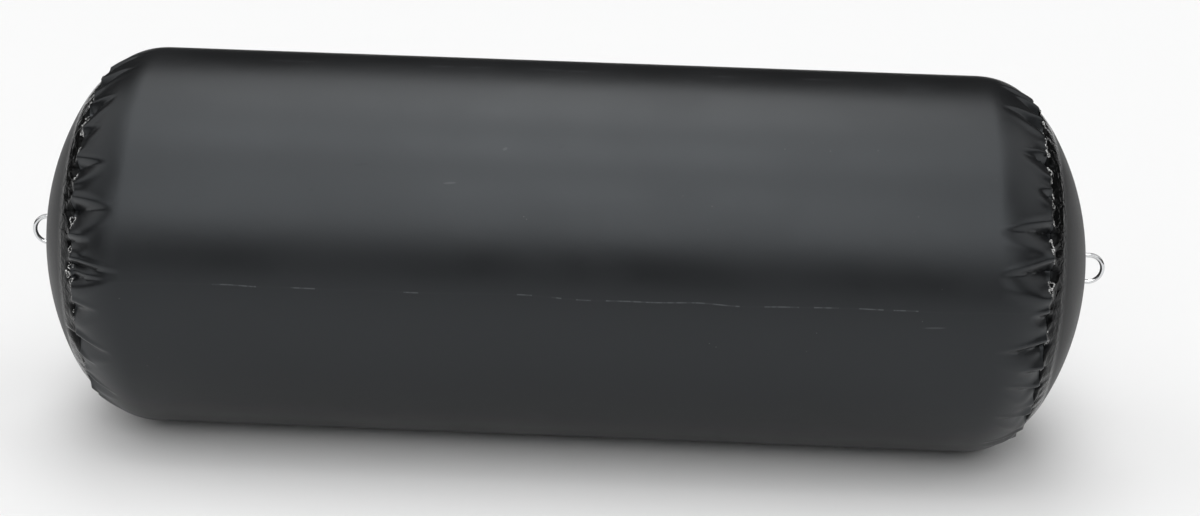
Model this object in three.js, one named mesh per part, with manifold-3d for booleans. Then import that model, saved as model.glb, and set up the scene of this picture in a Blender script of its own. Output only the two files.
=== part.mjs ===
// Pneumatic fender: a tube of coated fabric blown up hard, its ends drawn in over two domed end
// discs, with a steel D-ring at the middle of each end and an inflation valve on the right disc.
// Millimetres and degrees. +X runs along the tube, +Z is up, and the origin is on the floor under
// the middle of the tube. Angles round the tube count from the front (-Y) upwards.
import * as THREE from "three";
import { mergeVertices } from "three/addons/utils/BufferGeometryUtils.js";
import Module from "manifold-3d";

// Tube and end discs
const TUBE_DIAMETER = 650;
const STRAIGHT_LENGTH = 1386; // between the two shoulders
const SHOULDER_LENGTH = 87; // along the axis, from the straight wall to the tube's cut edge
const SHOULDER_DROP = 37; // how far the wall has come in at the cut edge
const SHOULDER_CURVE = 2.15; // how late the shoulder turns in
const FABRIC = 1.5; // thickness of the coated fabric, which is the step at the cut edge
const BAND_LENGTH = 26; // along the axis, from the cut edge to the valley round the disc
const BAND_DROP = 24; // how far the band comes in to the valley
const VALLEY_DEPTH = 2.5;
const DISC_BULGE = 84; // from the valley circle out to the crown of the disc's dome
const SEAT_RADIUS = 70; // flat middle of the disc, under the ring's patch
const REST_STRIP_WIDTH = 102; // the flat strip that the soft tube stands on
const GAP = 0.3; // between pieces that are glued, welded or pressed together

// Pleats, gathered in where the tube is drawn over the discs
const COLUMNS = 120; // faces round the tube
const PLEAT_DEPTH = 9; // at the cut edge
const PLEAT_PUFF = 2.5; // how far the wall swells between two pleats
const PLEAT_FADE = 46; // along the axis, from the cut edge to where the disc is smooth
// Each front pleat: its angle round the tube, and its length as a share of the shoulder
const FRONT_PLEATS = {
  left: [
    [87, 0.76], [75, 0.7], [61, 0.5], [50, 0.45], [38, 0.66], [24, 0.8], [14, 0.4],
    [6, 0.9], [-7, 0.6], [-20, 0.68], [-30, 0.3], [-39, 0.6], [-49, 0.5],
  ],
  right: [
    [88, 0.8], [81, 0.45], [70, 0.75], [53, 0.6], [40, 0.3], [27, 0.95], [15, 0.98],
    [2, 0.4], [-8, 0.94], [-18, 0.5], [-27, 0.7], [-40, 0.72], [-53, 0.76],
  ],
};
const BACK_PLEATS = 14; // the rest of the way round, evenly spread with small shifts

// D-ring, the loop of strap that holds it and the patch below
const WIRE_DIAMETER = 8;
const RING_INNER_WIDTH = 40; // along the bar
const RING_LEG = 15; // from the bar's middle line to where the bow starts
const RING_CORNER = 7; // bend between the bar and a leg, at the wire's middle line
const PATCH_RADIUS = 62;
const PATCH_THICKNESS = 2.5;
const STRAP_WIDTH = 34;
const STRAP_THICKNESS = 2.5;
const STRAP_TAIL = 42; // from the bar's middle line to each end of the strap
const STRAP_FILLET = 4; // where the loop rises from its tails
const BAR_CLEARANCE = 0.4;

// Inflation valve, on the far side of the right disc
const VALVE_OFFSET = 150; // from the tube's axis, square to it
const VALVE_TURN = 20; // above the level of the axis, on the back of the disc
const VALVE_SINK = 1.5; // flat floor under the flange, below the dome
const FLANGE_RADIUS = 27;
const FLANGE_THICKNESS = 3;
const BARREL_RADIUS = 15;
const BARREL_DEPTH = 32;
const COLLAR_RADIUS = 16;
const COLLAR_HEIGHT = 10; // above the flange
const UPPER_BORE = 11.5; // radius
const LOWER_BORE = 12; // radius of the chamber that holds the spring
const SEAT_BORE = 8; // radius of the hole that the poppet's disc shuts
const SEAT_TOP = -7; // level of the seat's upper face
const SEAT_THICKNESS = 2;
const WEB_THICKNESS = 2; // bottom of the barrel, which guides the stem
const WEB_HOLE_RADIUS = 2.4;
const WEB_HOLES = 4;
const STEM_RADIUS = 2;
const STEM_CLEARANCE = 0.6;
const STEM_OVERHANG = 1; // past the web
const STEM_TOP = 4; // level of the button's lower face
const BUTTON_RADIUS = 5;
const BUTTON_THICKNESS = 2;
const POPPET_RADIUS = 10.5;
const POPPET_THICKNESS = 3;
const POPPET_TRAVEL = 5;
const SPRING_RADIUS = 5.5; // to the wire's middle line
const SPRING_WIRE = 0.6; // radius
const SPRING_TURNS = 5;
const SPRING_END_ROOM = 1.15; // height of a coil's end over its wire's radius, as it climbs
const SEAL_RADIUS = 13.3; // to the middle of its section
const SEAL_SECTION = 1; // radius
const CAP_CLEARANCE = 0.4; // round the collar
const CAP_WALL = 4.1;
const CAP_TOP = 3;
const CAP_SKIRT = 7.3; // from the cap's inner face down to its rim
const CAP_GROOVE = 1.5; // depth of the groove that holds the tether
const CAP_WING_SHARE = 1.7; // length of the wing over the cap's radius
const CAP_WING_WIDTH = 5;
const CAP_WING_HEIGHT = 5;
const TETHER_THICKNESS = 2.4;
const TETHER_RING_WALL = 3.7;
const TETHER_WIDTH = 6;
const TETHER_REACH = 30; // from the valve's axis to the middle of the tether's bend

// Sizes that follow
const tubeRadius = TUBE_DIAMETER / 2;
const wireRadius = WIRE_DIAMETER / 2;
const edgeX = STRAIGHT_LENGTH / 2 + SHOULDER_LENGTH;
const edgeRadius = tubeRadius - SHOULDER_DROP;
const valleyX = edgeX + BAND_LENGTH;
const valleyRadius = edgeRadius - BAND_DROP;
const domeRadius = (valleyRadius ** 2 + DISC_BULGE ** 2) / (2 * DISC_BULGE);
const domeCentreX = valleyX + DISC_BULGE - domeRadius;
const seatX = domeCentreX + Math.sqrt(domeRadius ** 2 - SEAT_RADIUS ** 2);
const axisHeight = Math.sqrt(tubeRadius ** 2 - (REST_STRIP_WIDTH / 2) ** 2);
const poppetTop = SEAT_TOP - SEAT_THICKNESS - GAP;
const collarTop = GAP + FLANGE_THICKNESS + COLLAR_HEIGHT;
const capInner = collarTop + 2 * GAP + 2 * SEAL_SECTION;
const capRim = capInner - CAP_SKIRT;
const capBore = COLLAR_RADIUS + CAP_CLEARANCE;
const capRadius = capBore + CAP_WALL;
const grooveBottom = capInner - TETHER_THICKNESS - 2 * GAP;

const wasm = await Module();
wasm.setup();

// A closed geometry as a solid that can be joined and cut.
function solidOf(geometry) {
  const bare = geometry.clone();
  bare.deleteAttribute("normal");
  bare.deleteAttribute("uv");
  const merged = mergeVertices(bare, 1e-4);
  return new wasm.Manifold(
    new wasm.Mesh({
      numProp: 3,
      vertProperties: merged.attributes.position.array,
      triVerts: new Uint32Array(merged.index.array),
    }),
  );
}

// A solid back as a geometry with flat faces.
function geometryOf(solid) {
  const mesh = solid.getMesh();
  const geometry = new THREE.BufferGeometry();
  geometry.setAttribute("position", new THREE.BufferAttribute(mesh.vertProperties, 3));
  geometry.setIndex(new THREE.BufferAttribute(mesh.triVerts, 1));
  geometry.computeVertexNormals();
  return geometry;
}

// Turns a profile of [radius, height] points about +Z.
function turned(profile, faces) {
  const points = profile.map(([radius, height]) => new THREE.Vector2(radius, height));
  return new THREE.LatheGeometry(points, faces).rotateX(Math.PI / 2);
}

// Turns a profile of [x, radius] points about the tube's axis, from the left to the right.
function turnedOnTube(profile) {
  const points = profile.map(([x, radius]) => [radius, x]);
  return turned(points, COLUMNS).rotateY(Math.PI / 2);
}

// Level of the tube's wall on the shoulder, at a share of the way from the straight wall.
function shoulderRadius(share) {
  return tubeRadius - SHOULDER_DROP * share ** SHOULDER_CURVE;
}

// Every pleat of one end, each at the column nearest to its angle.
function pleatsOf(side) {
  const front = FRONT_PLEATS[side];
  const first = front[0][0];
  const last = front[front.length - 1][0] + 360;
  const step = (last - first) / (BACK_PLEATS + 1);
  const pleats = front.map(([angle, length]) => ({ angle, length }));
  for (let i = 1; i <= BACK_PLEATS; i++) {
    pleats.push({
      angle: first + step * (i + 0.22 * Math.sin(2.4 * i)),
      length: 0.65 + 0.25 * Math.sin(1.7 * i),
    });
  }
  const column = 360 / COLUMNS;
  return pleats.map(({ angle, length }) => ({ angle: Math.round(angle / column) * column, length }));
}

const PLEATS = { left: pleatsOf("left"), right: pleatsOf("right") };

// How far the gathers move a point of the wall out (or in, below zero).
function gatherAt(x, angle) {
  const fromEdge = Math.abs(x) - edgeX;
  const shoulderShare = THREE.MathUtils.clamp(1 + fromEdge / SHOULDER_LENGTH, 0, 1);
  const fade = THREE.MathUtils.clamp(1 - fromEdge / PLEAT_FADE, 0, 1);
  let fold = 0;
  for (const pleat of PLEATS[x < 0 ? "left" : "right"]) {
    const away = Math.abs(((((angle - pleat.angle) % 360) + 540) % 360) - 180);
    const across = Math.max(0, 1 - away / (360 / COLUMNS));
    const along = Math.max(0, (shoulderShare - 1 + pleat.length) / pleat.length);
    fold = Math.max(fold, across * along);
  }
  return fade * (PLEAT_PUFF * shoulderShare ** 2 - (PLEAT_DEPTH + PLEAT_PUFF) * fold);
}

// Gathers a turned wall into its pleats, flattens it where it stands, and lifts it off the floor.
function gathered(geometry, firstX) {
  const position = geometry.attributes.position;
  for (let i = 0; i < position.count; i++) {
    const x = position.getX(i);
    const y = position.getY(i);
    const z = position.getZ(i);
    const radius = Math.hypot(y, z);
    if (Math.abs(x) > firstX && radius > SEAT_RADIUS) {
      const angle = THREE.MathUtils.radToDeg(Math.atan2(z, -y));
      const share = (radius + gatherAt(x, angle)) / radius;
      position.setY(i, y * share);
      position.setZ(i, z * share);
    }
    position.setZ(i, Math.max(position.getZ(i), -axisHeight) + axisHeight);
  }
  return geometry;
}

// The tube with the air in it, from one cut edge to the other.
function tubeGeometry() {
  const shares = [0, 0.2, 0.36, 0.5, 0.62, 0.73, 0.83, 0.92, 1];
  const shoulder = shares.map((share) => [
    STRAIGHT_LENGTH / 2 + SHOULDER_LENGTH * share,
    shoulderRadius(share),
  ]);
  const left = shoulder.map(([x, radius]) => [-x, radius]).reverse();
  const profile = [[-edgeX, 0], ...left, ...shoulder, [edgeX, 0]];
  return gathered(turnedOnTube(profile), STRAIGHT_LENGTH / 2);
}

// One end disc: the band under the tube's edge, the valley, and the dome up to its flat seat.
function endDiscGeometry(direction) {
  const rimX = edgeX + GAP;
  const rimRadius = edgeRadius - FABRIC;
  const half = BAND_LENGTH / 2;
  const profile = [
    [rimX, 0],
    [rimX, rimRadius],
    [edgeX + half, (rimRadius + valleyRadius) / 2],
    [valleyX, valleyRadius - VALLEY_DEPTH],
  ];
  const start = Math.asin(valleyRadius / domeRadius);
  const end = Math.asin(SEAT_RADIUS / domeRadius);
  for (const share of [0.03, 0.08, 0.2, 0.4, 0.6, 0.8, 1]) {
    const turn = start + (end - start) * share;
    profile.push([domeCentreX + domeRadius * Math.cos(turn), domeRadius * Math.sin(turn)]);
  }
  profile.push([seatX, 0]);
  const placed = profile.map(([x, radius]) => [direction * x, radius]);
  return gathered(turnedOnTube(direction > 0 ? placed : placed.reverse()), edgeX);
}

// The valve's place: where its flange's floor is, and the way that it points.
function valvePlace() {
  const tilt = Math.asin(VALVE_OFFSET / domeRadius);
  const turn = THREE.MathUtils.degToRad(VALVE_TURN);
  const way = new THREE.Vector3(
    Math.cos(tilt),
    Math.sin(tilt) * Math.cos(turn),
    Math.sin(tilt) * Math.sin(turn),
  );
  const floor = way.clone().multiplyScalar(domeRadius - VALVE_SINK);
  floor.add(new THREE.Vector3(domeCentreX, 0, axisHeight));
  return { way, floor };
}

// The right disc with the flat and the pocket that the valve sits in.
function rightDiscGeometry() {
  const { way, floor } = valvePlace();
  const pocketDepth = BARREL_DEPTH + STEM_OVERHANG + POPPET_TRAVEL + GAP;
  const pocketRadius = BARREL_RADIUS + GAP;
  const flatRadius = FLANGE_RADIUS + 1;
  const flatTop = 2 * VALVE_SINK;
  const cutter = turned(
    [[0, -pocketDepth], [pocketRadius, -pocketDepth], [pocketRadius, 0], [flatRadius, 0],
      [flatRadius, flatTop], [0, flatTop]],
    48,
  );
  cutter.applyQuaternion(new THREE.Quaternion().setFromUnitVectors(new THREE.Vector3(0, 0, 1), way));
  cutter.translate(floor.x, floor.y, floor.z);
  return geometryOf(solidOf(endDiscGeometry(1)).subtract(solidOf(cutter)));
}

// Middle line of the D-ring: the bar along the second axis, the bow out along the first.
function ringPath() {
  const half = (RING_INNER_WIDTH + WIRE_DIAMETER) / 2;
  const straight = half - RING_CORNER;
  const path = new THREE.Path();
  path.moveTo(0, -straight);
  path.lineTo(0, straight);
  path.absarc(RING_CORNER, straight, RING_CORNER, Math.PI, Math.PI / 2, true);
  path.lineTo(RING_LEG, half);
  path.absarc(RING_LEG, 0, half, Math.PI / 2, -Math.PI / 2, true);
  path.lineTo(RING_CORNER, -half);
  path.absarc(RING_CORNER, -straight, RING_CORNER, -Math.PI / 2, -Math.PI, true);
  return path;
}

// The D-ring: a round bar bent to the ring's path and welded, with its bow along +Y.
function ringGeometry() {
  const path = ringPath();
  const around = 50;
  const geometry = new THREE.TorusGeometry(RING_INNER_WIDTH, wireRadius, 8, around);
  const position = geometry.attributes.position;
  for (let i = 0; i < position.count; i++) {
    const x = position.getX(i);
    const y = position.getY(i);
    const out = Math.hypot(x, y) - RING_INNER_WIDTH;
    const step = Math.round((Math.atan2(y, x) / (2 * Math.PI)) * around + around) % around;
    const centre = path.getPointAt(step / around);
    const tangent = path.getTangentAt(step / around);
    const side = -position.getZ(i);
    position.setXYZ(i, side, centre.x - tangent.y * out, centre.y + tangent.x * out);
  }
  return geometry;
}

// The strap's loop over the bar, with a tail glued down on each side, drawn across the bar.
function strapGeometry() {
  const height = wireRadius + BAR_CLEARANCE - GAP;
  const inner = wireRadius + BAR_CLEARANCE;
  const outer = inner + STRAP_THICKNESS;
  const bend = outer + STRAP_FILLET;
  const foot = STRAP_THICKNESS + STRAP_FILLET;
  const shape = new THREE.Shape();
  shape.moveTo(-STRAP_TAIL, 0);
  shape.lineTo(-inner, 0);
  shape.lineTo(-inner, height);
  shape.absarc(0, height, inner, Math.PI, 0, true);
  shape.lineTo(inner, 0);
  shape.lineTo(STRAP_TAIL, 0);
  shape.lineTo(STRAP_TAIL, STRAP_THICKNESS);
  shape.lineTo(bend, STRAP_THICKNESS);
  if (foot <= height) shape.absarc(bend, foot, STRAP_FILLET, -Math.PI / 2, Math.PI, true);
  shape.lineTo(outer, height);
  shape.absarc(0, height, outer, 0, Math.PI, false);
  if (foot <= height) shape.absarc(-bend, foot, STRAP_FILLET, 0, -Math.PI / 2, true);
  shape.lineTo(-bend, STRAP_THICKNESS);
  shape.lineTo(-STRAP_TAIL, STRAP_THICKNESS);
  const options = { depth: STRAP_WIDTH, bevelEnabled: false, curveSegments: 10 };
  return new THREE.ExtrudeGeometry(shape, options).translate(0, 0, -STRAP_WIDTH / 2);
}

// The valve's flanged body, with its seat half way down and holes in the web for the air.
function valveBodyGeometry() {
  const flangeTop = GAP + FLANGE_THICKNESS;
  const guide = STEM_RADIUS + STEM_CLEARANCE;
  const webTop = WEB_THICKNESS - BARREL_DEPTH;
  const chamfer = 1;
  const profile = [
    [guide, -BARREL_DEPTH], [BARREL_RADIUS, -BARREL_DEPTH], [BARREL_RADIUS, GAP],
    [FLANGE_RADIUS, GAP], [FLANGE_RADIUS, flangeTop - chamfer], [FLANGE_RADIUS - chamfer, flangeTop],
    [COLLAR_RADIUS, flangeTop], [COLLAR_RADIUS, collarTop - chamfer],
    [COLLAR_RADIUS - chamfer, collarTop], [UPPER_BORE, collarTop], [UPPER_BORE, SEAT_TOP],
    [SEAT_BORE, SEAT_TOP], [SEAT_BORE, SEAT_TOP - SEAT_THICKNESS],
    [LOWER_BORE, SEAT_TOP - SEAT_THICKNESS], [LOWER_BORE, webTop], [guide, webTop],
    [guide, -BARREL_DEPTH],
  ];
  let body = solidOf(turned(profile, 32));
  const ring = (guide + LOWER_BORE) / 2;
  for (let i = 0; i < WEB_HOLES; i++) {
    const turn = (i * 2 * Math.PI) / WEB_HOLES;
    const hole = new THREE.CylinderGeometry(WEB_HOLE_RADIUS, WEB_HOLE_RADIUS, 2 * WEB_THICKNESS, 12);
    hole.rotateX(Math.PI / 2);
    hole.translate(ring * Math.cos(turn), ring * Math.sin(turn), webTop - WEB_THICKNESS / 2);
    body = body.subtract(solidOf(hole));
  }
  return geometryOf(body);
}

// The poppet: a stem with its sealing disc below the seat and a button on top.
function valvePoppetGeometry() {
  const bottom = -BARREL_DEPTH - STEM_OVERHANG;
  return turned(
    [
      [0, bottom], [STEM_RADIUS, bottom], [STEM_RADIUS, poppetTop - POPPET_THICKNESS],
      [POPPET_RADIUS, poppetTop - POPPET_THICKNESS], [POPPET_RADIUS, poppetTop],
      [STEM_RADIUS, poppetTop], [STEM_RADIUS, STEM_TOP], [BUTTON_RADIUS, STEM_TOP],
      [BUTTON_RADIUS, STEM_TOP + BUTTON_THICKNESS], [0, STEM_TOP + BUTTON_THICKNESS],
    ],
    28,
  );
}

// The middle line of the spring's wire.
class SpringCurve extends THREE.Curve {
  constructor(bottom, top) {
    super();
    this.bottom = bottom;
    this.top = top;
  }

  getPoint(share, target = new THREE.Vector3()) {
    const turn = share * SPRING_TURNS * 2 * Math.PI;
    const height = this.bottom + (this.top - this.bottom) * share;
    return target.set(SPRING_RADIUS * Math.cos(turn), SPRING_RADIUS * Math.sin(turn), height);
  }
}

// The spring between the web and the poppet's disc.
function valveSpringGeometry() {
  const seat = GAP + SPRING_END_ROOM * SPRING_WIRE;
  const bottom = WEB_THICKNESS - BARREL_DEPTH + seat;
  const top = poppetTop - POPPET_THICKNESS - seat;
  const section = new THREE.Shape().absarc(0, 0, SPRING_WIRE, 0, 2 * Math.PI);
  return new THREE.ExtrudeGeometry(section, {
    extrudePath: new SpringCurve(bottom, top),
    steps: 11 * SPRING_TURNS,
    curveSegments: 3,
  });
}

// The seal ring between the collar and the cap.
function valveSealGeometry() {
  const ring = new THREE.TorusGeometry(SEAL_RADIUS, SEAL_SECTION, 6, 24);
  return ring.translate(0, 0, collarTop + GAP + SEAL_SECTION);
}

// The cap, with a groove for the tether and a wing to turn it by.
function valveCapGeometry() {
  const top = capInner + CAP_TOP;
  const groove = capRadius - CAP_GROOVE;
  const cap = turned(
    [
      [0, capInner], [capBore, capInner], [capBore, capRim], [capRadius, capRim],
      [capRadius, grooveBottom], [groove, grooveBottom], [groove, capInner],
      [capRadius, capInner], [capRadius, top - 1], [capRadius - 1, top], [0, top],
    ],
    36,
  );
  const sunk = 1;
  const wing = new THREE.BoxGeometry(
    CAP_WING_SHARE * capRadius,
    CAP_WING_WIDTH,
    CAP_WING_HEIGHT + sunk,
  );
  wing.translate(0, 0, top + (CAP_WING_HEIGHT - sunk) / 2);
  return geometryOf(solidOf(cap).add(solidOf(wing)));
}

// A flat ring of the tether, standing on a level.
function tetherRing(inner, level) {
  const outer = inner + TETHER_RING_WALL;
  const top = level + TETHER_THICKNESS;
  const profile = [[inner, level], [outer, level], [outer, top], [inner, top], [inner, level]];
  return solidOf(turned(profile, 32));
}

// The tether: one ring round the cap's groove, one round the collar, and a strap bent between.
function valveTetherGeometry() {
  const upper = grooveBottom + GAP;
  const lower = 2 * GAP + FLANGE_THICKNESS;
  const middle = (upper + lower + TETHER_THICKNESS) / 2;
  const bendOuter = middle - lower;
  const bendInner = bendOuter - TETHER_THICKNESS;
  const rootUpper = capRadius - CAP_GROOVE + GAP + TETHER_RING_WALL / 2;
  const rootLower = COLLAR_RADIUS + GAP + TETHER_RING_WALL / 2;
  const shape = new THREE.Shape();
  shape.moveTo(rootLower, lower);
  shape.lineTo(TETHER_REACH, lower);
  shape.absarc(TETHER_REACH, middle, bendOuter, -Math.PI / 2, Math.PI / 2, false);
  shape.lineTo(rootUpper, upper + TETHER_THICKNESS);
  shape.lineTo(rootUpper, upper);
  shape.lineTo(TETHER_REACH, upper);
  shape.absarc(TETHER_REACH, middle, bendInner, Math.PI / 2, -Math.PI / 2, true);
  shape.lineTo(rootLower, lower + TETHER_THICKNESS);
  const options = { depth: TETHER_WIDTH, bevelEnabled: false, curveSegments: 8 };
  const strap = new THREE.ExtrudeGeometry(shape, options);
  strap.rotateX(Math.PI / 2).translate(0, TETHER_WIDTH / 2, 0);
  const rings = tetherRing(capRadius - CAP_GROOVE + GAP, upper)
    .add(tetherRing(COLLAR_RADIUS + GAP, lower));
  return geometryOf(rings.add(solidOf(strap)));
}

// Finishes
const finish = (color, roughness, metalness) =>
  new THREE.MeshStandardMaterial({ color, roughness, metalness });
const coatedFabric = finish(0x1b1c1e, 0.42, 0);
const discFabric = finish(0x18191b, 0.4, 0);
const patchFabric = finish(0x151617, 0.5, 0);
const strapWebbing = finish(0x121314, 0.65, 0);
const polishedSteel = finish(0xc9cacc, 0.16, 1);
const mouldedPlastic = finish(0x1d1e20, 0.5, 0);
const springSteel = finish(0xa5a7aa, 0.3, 1);
const sealRubber = finish(0x101011, 0.8, 0);

// Adds a named piece to a group.
function addPiece(group, name, geometry, material) {
  const piece = new THREE.Mesh(geometry, material);
  piece.name = name;
  group.add(piece);
}

const fender = new THREE.Group();
addPiece(fender, "tube", tubeGeometry(), coatedFabric);
addPiece(fender, "end_disc_left", endDiscGeometry(-1), discFabric);
addPiece(fender, "end_disc_right", rightDiscGeometry(), discFabric);

// The patch, strap and ring of each end, in a group whose +Y points out along the tube's axis.
for (const [side, direction] of [["left", -1], ["right", 1]]) {
  const end = new THREE.Group();
  end.position.set(direction * seatX, 0, axisHeight);
  end.rotation.z = (-direction * Math.PI) / 2;
  const patchTop = GAP + PATCH_THICKNESS;
  const patch = new THREE.CylinderGeometry(PATCH_RADIUS, PATCH_RADIUS, PATCH_THICKNESS, 48);
  patch.translate(0, GAP + PATCH_THICKNESS / 2, 0);
  addPiece(end, "ring_patch_" + side, patch, patchFabric);
  addPiece(end, "ring_strap_" + side, strapGeometry().translate(0, patchTop + GAP, 0), strapWebbing);
  const bar = patchTop + wireRadius + BAR_CLEARANCE;
  addPiece(end, "d_ring_" + side, ringGeometry().translate(0, bar, 0), polishedSteel);
  fender.add(end);
}

const valve = new THREE.Group();
const { way, floor } = valvePlace();
valve.position.copy(floor);
valve.quaternion.setFromUnitVectors(new THREE.Vector3(0, 0, 1), way);
addPiece(valve, "valve_body", valveBodyGeometry(), mouldedPlastic);
addPiece(valve, "valve_poppet", valvePoppetGeometry(), mouldedPlastic);
addPiece(valve, "valve_spring", valveSpringGeometry(), springSteel);
addPiece(valve, "valve_cap_seal", valveSealGeometry(), sealRubber);
addPiece(valve, "valve_cap", valveCapGeometry(), mouldedPlastic);
addPiece(valve, "valve_tether", valveTetherGeometry(), sealRubber);
fender.add(valve);

export default fender;
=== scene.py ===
"""Pneumatic fender of black coated fabric, on a pale floor under eight broad softboxes.

Metres, in the frame of the solids: +X along the tube, +Z up, the origin on the floor under the
middle of the tube. Angles round the tube are in degrees and count from the front (-Y) upwards.
"""

import logging
import math
import random
from dataclasses import dataclass, field
from enum import Enum
from typing import Sequence

import bpy
import numpy as np
from mathutils import Matrix, Vector


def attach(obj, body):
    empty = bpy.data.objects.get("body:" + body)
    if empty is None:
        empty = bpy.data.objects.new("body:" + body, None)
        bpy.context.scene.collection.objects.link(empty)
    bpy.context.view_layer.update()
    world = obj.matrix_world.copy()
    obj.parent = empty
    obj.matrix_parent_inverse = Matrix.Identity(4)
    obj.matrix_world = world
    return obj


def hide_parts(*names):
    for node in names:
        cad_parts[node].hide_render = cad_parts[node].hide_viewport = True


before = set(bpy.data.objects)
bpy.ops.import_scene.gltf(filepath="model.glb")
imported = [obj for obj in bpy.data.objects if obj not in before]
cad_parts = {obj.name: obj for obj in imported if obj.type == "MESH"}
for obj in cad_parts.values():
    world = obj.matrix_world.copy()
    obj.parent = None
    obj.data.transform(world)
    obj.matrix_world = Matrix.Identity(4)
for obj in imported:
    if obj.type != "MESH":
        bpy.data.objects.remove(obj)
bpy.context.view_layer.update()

log = logging.getLogger("fender")


# Small tools

# A turned piece is spun as one sector, which is then copied round
SECTORS = 12


class Side(Enum):
    """One end of the tube, with the sign of its X."""

    LEFT = -1
    RIGHT = 1

    @property
    def word(self) -> str:
        """The end's name in the names of pieces."""
        return self.name.lower()


def deselect() -> None:
    """Leave edit mode and deselect every object."""
    if bpy.context.object and bpy.context.object.mode != "OBJECT":
        bpy.ops.object.mode_set(mode="OBJECT")
    bpy.ops.object.select_all(action="DESELECT")


def activate(piece: bpy.types.Object) -> None:
    """Select one object alone and make it the active one.

    Args:
        piece: The object to work on.
    """
    deselect()
    piece.select_set(True)
    bpy.context.view_layer.objects.active = piece


class Axis(Enum):
    """An axis to turn a profile round: its direction, and the side where the profile is drawn."""

    X = ((1, 0, 0), (0, -1, 0))
    Z = ((0, 0, 1), (1, 0, 0))


def drawn(name: str, points: Sequence[Vector]) -> bpy.types.Object:
    """Draw a line of edges and leave it in edit mode, all selected.

    Args:
        name: The new object's name.
        points: The line's points, in order.

    Returns:
        The line.
    """
    deselect()
    bpy.ops.mesh.primitive_plane_add(size=0.001, location=points[0])
    line = bpy.context.object
    line.name = line.data.name = name
    bpy.ops.object.mode_set(mode="EDIT")
    bpy.ops.mesh.select_all(action="SELECT")
    bpy.ops.mesh.merge(type="CENTER")
    for start, end in zip(points, points[1:]):
        bpy.ops.mesh.extrude_region_move(TRANSFORM_OT_translate={"value": end - start})
    bpy.ops.mesh.select_all(action="SELECT")
    return line


def face_outwards(piece: bpy.types.Object) -> None:
    """Turn all faces of a piece outwards, each loose part by itself.

    Args:
        piece: The piece, in object mode or edit mode. It is left in object mode.
    """
    activate(piece)
    bpy.ops.object.mode_set(mode="EDIT")
    bpy.ops.mesh.select_all(action="SELECT")
    bpy.ops.mesh.normals_make_consistent(inside=False)
    bpy.ops.object.mode_set(mode="OBJECT")


def turned(name: str, profile: Sequence[tuple[float, float]], steps: int,
           axis: Axis) -> bpy.types.Object:
    """Spin a profile round an axis through the origin.

    Args:
        name: The new object's name.
        profile: Points of (place along the axis, radius), in order.
        steps: Faces round the turned piece, a multiple of SECTORS.
        axis: The axis.

    Returns:
        The turned object, with merged vertices and outward faces.
    """
    along, across = (Vector(way) for way in axis.value)
    piece = drawn(name, [along * a + across * r for a, r in profile])
    part = 2 * math.pi / SECTORS
    bpy.ops.mesh.spin(steps=steps // SECTORS, angle=part, center=(0, 0, 0), axis=along)
    bpy.ops.mesh.select_all(action="SELECT")
    bpy.ops.mesh.spin(steps=SECTORS - 1, angle=2 * math.pi - part, center=(0, 0, 0), axis=along,
                      dupli=True)
    bpy.ops.mesh.select_all(action="SELECT")
    bpy.ops.mesh.remove_doubles(threshold=1e-6)
    face_outwards(piece)
    settle(piece)
    return piece


def settle(piece: bpy.types.Object) -> None:
    """Put an object's place into its mesh, so that it sits at the origin unturned."""
    activate(piece)
    bpy.ops.object.transform_apply(location=True, rotation=True, scale=True)


def smooth(piece: bpy.types.Object, angle: float = 30.0) -> None:
    """Shade a piece smooth, with edges kept sharp above an angle in degrees."""
    activate(piece)
    bpy.ops.object.shade_smooth_by_angle(angle=math.radians(angle))


def finish_with(piece: bpy.types.Object, kind: str, **options: object) -> None:
    """Add one modifier to a piece and apply it.

    Args:
        piece: The piece to work on.
        kind: The modifier's type, such as "BEVEL".
        options: The modifier's settings.
    """
    activate(piece)
    modifier = piece.modifiers.new(kind.lower(), kind)
    for key, value in options.items():
        setattr(modifier, key, value)
    bpy.ops.object.modifier_apply(modifier=modifier.name)


def places(piece: bpy.types.Object) -> np.ndarray:
    """The vertices of a piece.

    Args:
        piece: The piece to read.

    Returns:
        One row of x, y, z for each vertex.
    """
    flat = np.empty(len(piece.data.vertices) * 3)
    piece.data.vertices.foreach_get("co", flat)
    return flat.reshape(-1, 3)


def move_to(piece: bpy.types.Object, points: np.ndarray) -> None:
    """Give the vertices of a piece new places, as one row of x, y, z each."""
    piece.data.vertices.foreach_set("co", points.ravel())
    piece.data.update()


def join(pieces: Sequence[bpy.types.Object], name: str) -> bpy.types.Object:
    """Join several objects into one.

    Args:
        pieces: The objects to join.
        name: The joined object's name.

    Returns:
        The joined object.
    """
    deselect()
    for piece in pieces:
        piece.select_set(True)
    bpy.context.view_layer.objects.active = pieces[0]
    if len(pieces) > 1:
        bpy.ops.object.join()
    joined = bpy.context.object
    joined.name = joined.data.name = name
    return joined


def dress(piece: bpy.types.Object, material: bpy.types.Material, body: str,
          replaced: Sequence[str] = ()) -> None:
    """Give a piece its material, its body and the solids that it stands for.

    Args:
        piece: The finished piece.
        material: Its material.
        body: The body that it rides on.
        replaced: The solids that it replaces.
    """
    piece.data.materials.clear()
    piece.data.materials.append(material)
    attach(piece, body)
    if replaced:
        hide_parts(*replaced)
    log.info("%s: %d faces", piece.name, len(piece.data.polygons))


# Shader nodes


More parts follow.
